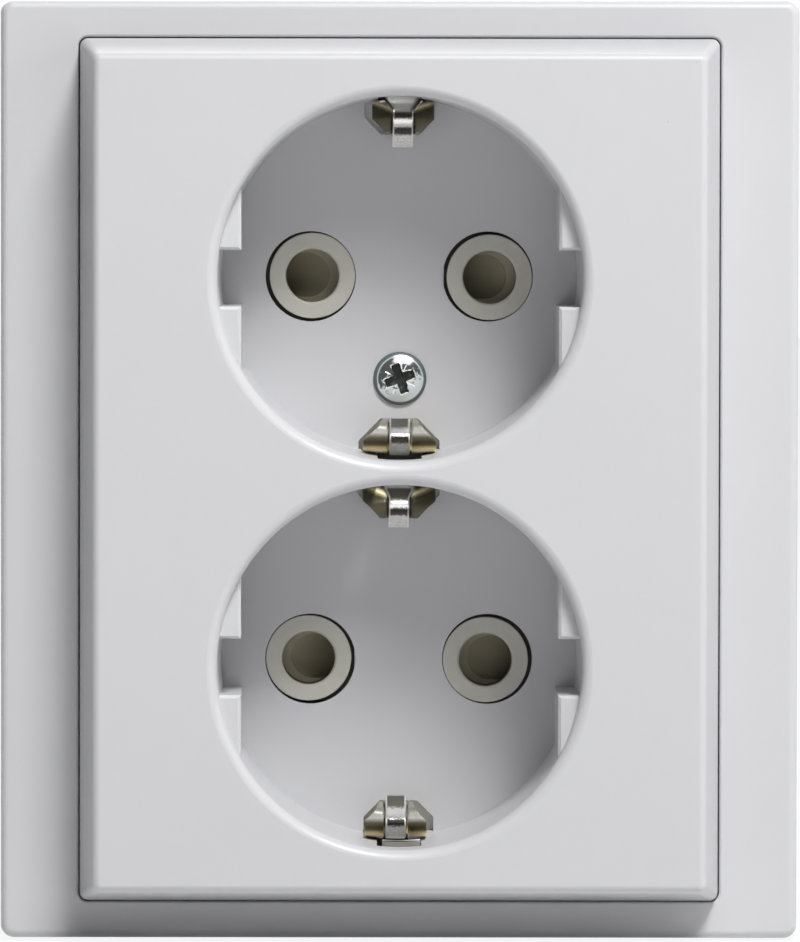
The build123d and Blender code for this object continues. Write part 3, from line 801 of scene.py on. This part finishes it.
# in millimetres: a distance from the middle of the well and a height above the wall
clipSettings = {
    "thickness": 0.5,
    "edge": 0.1,
    "widthSteps": 6,
    "bendSteps": 8,
    "wing": [(18.1, 0.55), (18.1, 3.0), (18.7, 5.0), (18.7, 9.3), (17.0, 11.0), (15.8, 10.5), (15.5, 5.0)],
    "wingRounding": [0.6, 0.6, 0.9, 0.8, 0.5],
    "wingSpacing": 0.25,
    "wallCurve": 0.0262,
    "wallStart": (2.6, 5.0),
    "footTop": 6.0,
    "knee": (18.5, 8.2),
    "crest": (16.9, 11.6),
    "tongueHeight": 6.2,
    "tail": (0.9, -1.8),
    "tongueRounding": [0.6, 1.3, 0.6],
    "tongueSpacing": 0.2,
    "slit": 0.2,
    "tongueHalf": 1.1,
    "rootStart": 17.75,
    "rootEnd": 19.15,
    "rootFade": 0.1,
    "endHalf": 1.4,
    "endRadius": 15.0,
    "wingHalf": 3.9,
    "wingRadius": 17.8,
    "stripTop": 0.95,
    "tab": [(18.95, 11.4), (20.4, 10.9)],
    "tabHalves": (-2.6, 1.45),
    "sharp": math.radians(50.0),
    "kinds": [
        {"reach": 13.95, "half": 3.3, "root": 19.15, "rootHalf": 1.95, "start": 17.9, "tab": False},
        {"reach": 15.3, "half": 3.9, "root": 18.85, "rootHalf": 1.1, "start": 19.1, "tab": False},
        {"reach": 14.4, "half": 3.9, "root": 19.15, "rootHalf": 1.95, "start": 18.6, "tab": False},
        {"reach": 14.6, "half": 3.3, "root": 18.85, "rootHalf": 1.1, "start": 19.1, "tab": True},
    ],
}


def roundedPath(points, rounding, spacing, steps):
    # a polyline with its inner corners replaced by arcs, sampled at about even steps
    path = [Vector(points[0])]
    for before, corner, after, cut in zip(points, points[1:], points[2:], rounding):
        corner = Vector(corner)
        start = corner + (Vector(before) - corner).normalized() * cut
        end = corner + (Vector(after) - corner).normalized() * cut
        for k in range(steps + 1):
            t = k / steps
            path.append(start * (1 - t) ** 2 + corner * 2 * t * (1 - t) + end * t * t)
    path.append(Vector(points[-1]))
    fine = []
    for near, far in zip(path, path[1:]):
        count = max(1, math.ceil((far - near).length / spacing))
        fine += [near.lerp(far, k / count) for k in range(count)]
    return fine + [path[-1]]


def addLeaf(work, settings, path, halves, mapPoint):
    # a strip of sheet metal along a path, with rounded edges
    half = settings["thickness"] / 2
    soft = settings["edge"]
    steps = settings["widthSteps"]
    rows = []
    for i, here in enumerate(path):
        ahead = path[min(i + 1, len(path) - 1)] - path[max(i - 1, 0)]
        side = Vector((-ahead.y, ahead.x)).normalized()
        low, high = halves(here.x)
        section = [(low, -half + soft), (low, half - soft), (low + soft, half)]
        section += [(low + (high - low) * k / steps, half) for k in range(1, steps)]
        section += [(high - soft, half), (high, half - soft), (high, -half + soft), (high - soft, -half)]
        section += [(high + (low - high) * k / steps, -half) for k in range(1, steps)]
        section += [(low + soft, -half)]
        row = []
        for across, lift in section:
            spot = here + side * lift
            # above the floor the sheet follows the round wall
            bow = settings["wallCurve"] * across * across * smoothStep(spot.y, *settings["wallStart"])
            place = Vector((across * mm, -spot.y * mm, (spot.x - bow) * mm))
            row.append((place, *mapPoint(spot.x, across)))
        rows.append(row)
    verts = addSheet(work, rows)
    for row in (verts[0], verts[-1]):
        work.faces.new([vert for vert, values in row])


def makeClip(settings, kind, low):
    # one clip of the upper end of a well, around the middle of that well
    tipRadius = kind["reach"] - settings["thickness"] / 2

    def wingHalf(radius):
        share = between(radius, settings["endRadius"], settings["wingRadius"])
        return min(settings["endHalf"] + (settings["wingHalf"] - settings["endHalf"]) * share, kind["half"])

    def tongueHalf(radius):
        share = between(radius, settings["rootStart"], settings["rootEnd"])
        return settings["tongueHalf"] + (kind["rootHalf"] - settings["tongueHalf"]) * share

    def slitHalf(radius):
        return tongueHalf(radius) + settings["slit"]

    def wingMap(radius, across):
        return (0.0, 2.0), (0.0, 0.0)

    def tabMap(radius, across):
        return (0.0, 0.0), (0.0, 1.0)

    def tongueMap(radius, across):
        # from the upper end of the tongue as it is mounted
        start, fade = kind["start"], settings["rootFade"]
        share = between(radius, start, tipRadius)
        dull = 0.0 if low else smoothStep(radius, start - fade, start + fade)
        return (1 - share if low else share, across / tongueHalf(radius)), (1.0, dull)

    def bent(points, rounding, spacing):
        return roundedPath(points, rounding, spacing, settings["bendSteps"])

    work = bmesh.new()
    wing = bent(settings["wing"], settings["wingRounding"], settings["wingSpacing"])
    addLeaf(work, settings, wing, lambda radius: (slitHalf(radius), wingHalf(radius)), wingMap)
    addLeaf(work, settings, wing, lambda radius: (-wingHalf(radius), -slitHalf(radius)), wingMap)
    foot = [spot for spot in wing if spot.y < settings["footTop"]]
    addLeaf(work, settings, foot, lambda radius: (-slitHalf(radius), slitHalf(radius)), wingMap)
    tip = (kind["reach"], settings["tongueHeight"])
    tail = (tip[0] + settings["tail"][0], tip[1] + settings["tail"][1])
    bends = [(kind["root"], settings["footTop"]), settings["knee"], settings["crest"], tip, tail]
    tongue = bent(bends, settings["tongueRounding"], settings["tongueSpacing"])
    addLeaf(work, settings, tongue, lambda radius: (-tongueHalf(radius), tongueHalf(radius)), tongueMap)
    if kind["tab"]:
        # a tab of the strip shows in the slot of the wall
        tab = bent(settings["tab"], [], settings["tongueSpacing"])
        addLeaf(work, settings, tab, lambda radius: settings["tabHalves"], tabMap)
    bmesh.ops.recalc_face_normals(work, faces=work.faces)
    mesh = meshFrom(work, "clipLeaf")
    mesh.set_sharp_from_angle(angle=settings["sharp"])
    return mesh


def clipRecipe():
    # the strip with a clip at both ends of each well, taken in turn from a collection
    group = bpy.data.node_groups.new("clipRow", "GeometryNodeTree")
    inputs = {
        "Geometry": "Geometry",
        "Clips": "Collection",
        "Well offset": "Float",
        "Turn": "Float",
        "Metal": "Material",
    }
    for name, kind in inputs.items():
        group.interface.new_socket(name, in_out="INPUT", socket_type="NodeSocket" + kind)
    group.interface.new_socket("Geometry", in_out="OUTPUT", socket_type="NodeSocketGeometry")
    nodes = Nodes(group)
    given = {name: nodes.add("NodeGroupInput", {}, {}, name) for name in inputs}
    sockets = {"Collection": given["Clips"], "Separate Children": True, "Reset Children": True}
    clips = nodes.add("GeometryNodeCollectionInfo", {}, sockets, "Instances")
    index = nodes.add("GeometryNodeInputIndex", {}, {}, "Index")
    lower = (index / 2).floor()
    line = nodes.add("GeometryNodeMeshLine", {}, {"Count": 4}, "Mesh")
    place = nodes.add("ShaderNodeCombineXYZ", {}, {"Z": given["Well offset"] * (1 - 2 * lower)}, "Vector")
    points = nodes.add("GeometryNodeSetPosition", {}, {"Geometry": line, "Position": place}, "Geometry")
    flip = nodes.add("ShaderNodeCombineXYZ", {}, {"Y": math.pi * (index - 2 * lower)}, "Vector")
    sockets = {"Points": points, "Instance": clips, "Pick Instance": True, "Instance Index": index}
    sockets["Rotation"] = flip
    copies = nodes.add("GeometryNodeInstanceOnPoints", {}, sockets, "Instances")
    spin = nodes.add("ShaderNodeCombineXYZ", {}, {"Y": given["Turn"]}, "Vector")
    turned = nodes.add("GeometryNodeTransform", {}, {"Geometry": copies, "Rotation": spin}, "Geometry")
    both = nodes.add("GeometryNodeJoinGeometry", {}, {"Geometry": [given["Geometry"], turned]}, "Geometry")
    whole = nodes.add("GeometryNodeRealizeInstances", {}, {"Geometry": both}, "Geometry")
    sockets = {"Geometry": whole, "Material": given["Metal"]}
    dressed = nodes.add("GeometryNodeSetMaterial", {}, sockets, "Geometry")
    nodes.add("NodeGroupOutput", {}, {"Geometry": dressed})
    return group


def makeEarthStrip(settings):
    # the CAD strip up to the feet of its clips, and the finer clips on it
    work = cleanCopy("earth_strip")
    cut = (0.0, -settings["stripTop"] * mm, 0.0)
    parts = list(work.verts) + list(work.edges) + list(work.faces)
    bmesh.ops.bisect_plane(work, geom=parts, plane_co=cut, plane_no=(0.0, -1.0, 0.0), clear_outer=True)
    strip = addObject("earthStrip", meshFrom(work, "earthStrip"), "nickelPlate")
    clips = bpy.data.collections.new("clips")
    for number, kind in enumerate(settings["kinds"]):
        shape = bpy.data.objects.new("clip" + str(number), makeClip(settings, kind, number % 2))
        clips.objects.link(shape)
    group = clipRecipe()
    row = strip.modifiers.new("clips", "NODES")
    row.node_group = group
    given = {
        "Clips": clips,
        "Well offset": wellOffset,
        "Turn": insertAngle,
        "Metal": finishes["nickelPlate"],
    }
    for socket in group.interface.items_tree:
        if socket.in_out == "INPUT" and socket.name in given:
            row[socket.identifier] = given[socket.name]
    asPlainMesh(strip)
    for shape in list(clips.objects):
        spare = shape.data
        bpy.data.objects.remove(shape)
        bpy.data.meshes.remove(spare)
    bpy.data.collections.remove(clips)
    return strip


standIn(makeEarthStrip(clipSettings), "socket", "nickel_strip", "earth_strip")

# settings of the springs: the rounding of their edges, an axis, a fixed end and a share of their length
# kept
shutterSpring = {"edge": 0.03 * mm, "axis": (0.9999619, 0.0, -0.0087265), "fixed": 20.3 * mm, "keep": 0.405}
clampSpring = {"edge": 0.04 * mm, "axis": (0.0, 1.0, 0.0), "fixed": 8.5 * mm, "keep": 0.84}


def makeSpring(node, name, settings):
    item = softCopy(node, name, "springSteel", [(settings["edge"], everyEdge)])
    standIn(item, "socket", "spring_steel", node)
    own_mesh(item)


for side, turn in (("upper", 1), ("lower", -1)):
    makeSpring(side + "_shutter_spring", side + "ShutterSpring", shutterSpring)
for pole in ("line", "neutral", "earth"):
    makeSpring(pole + "_clamp_springs", pole + "ClampSprings", clampSpring)

keptNodes = {
    "support_plate": "zincSheet",
    "contact_cover": "greyMoulding",
    "line_contact": "contactBrass",
    "neutral_contact": "contactBrass",
    "line_release_button": "leverMoulding",
    "neutral_release_button": "leverMoulding",
    "earth_release_button": "leverMoulding",
}

for node, finish in keptNodes.items():
    item = frame["nodes"][node]
    item.data.materials.clear()
    item.data.materials.append(finishes[finish])
print("kept nodes dressed:", len(keptNodes))

white = (1.0, 1.0, 1.0)
stageSettings = {
    "floor": -50.3 * mm,
    "reach": 3.0,
    "colour": (0.8, 0.8, 0.8),
    "roughness": 0.9,
    "white": 0.9,
    "ambient": 0.02,
}


def makeFloor(settings):
    reach, level = settings["reach"], settings["floor"]
    corners = [(x * reach, y * reach, level) for x, y in ((-1, -1), (1, -1), (1, 1), (-1, 1))]
    mesh = bpy.data.meshes.new("floor")
    mesh.from_pydata(corners, [], [(0, 1, 2, 3)])
    finish = Finish("paleFloor", Base_Color=paint(settings["colour"]), Roughness=settings["roughness"])
    glow = finish.add("ShaderNodeEmission", {}, {"Color": paint(white), "Strength": 1.0}, "Emission")
    own = Signal(finish, finish.shader.outputs["BSDF"])
    share = finish.backdropRay() * settings["white"]
    both = finish.add("ShaderNodeMixShader", {}, {"Fac": share, 1: own, 2: glow}, "Shader")
    finish.join(finish.tree.nodes["Material Output"].inputs["Surface"], both)
    finishes["paleFloor"] = finish.material
    addObject("floor", mesh, "paleFloor")


def makeWorld(settings):
    world = bpy.data.worlds.new("studio")
    scene.world = world
    world.use_nodes = True
    nodes = Nodes(world.node_tree)
    back = world.node_tree.nodes["Background"]
    nodes.join(back.inputs["Color"], paint(white))
    seen = nodes.backdropRay()
    nodes.join(back.inputs["Strength"], settings["ambient"] + seen * (1 - settings["ambient"]))


makeFloor(stageSettings)
makeWorld(stageSettings)

lamps = {
    "key": {"place": (0.21, -0.480, 0.706), "aim": (0.0, -0.01, 0.0), "size": 0.22, "power": 6.35},
    "low": {"place": (0.161, -0.601, 0.622), "aim": (0.0, -0.01, 0.0), "size": 0.2, "power": 2.1},
    "side": {"place": (0.75, -0.20, 0.30), "aim": (0.0, -0.01, 0.0), "size": 0.25, "power": 1.6},
    "back": {"place": (-0.2, 0.7, 0.5), "aim": (0.0, 0.01, 0.0), "size": 0.5, "power": 3.0},
}


def makeLamp(name, settings):
    data = bpy.data.lights.new(name, "AREA")
    data.shape = "SQUARE"
    data.size = settings["size"]
    data.energy = settings["power"]
    lamp = bpy.data.objects.new(name, data)
    scene.collection.objects.link(lamp)
    lamp.matrix_world = lookAt(settings["place"], settings["aim"])


for name, settings in lamps.items():
    makeLamp(name, settings)
print("stage and lamps set")
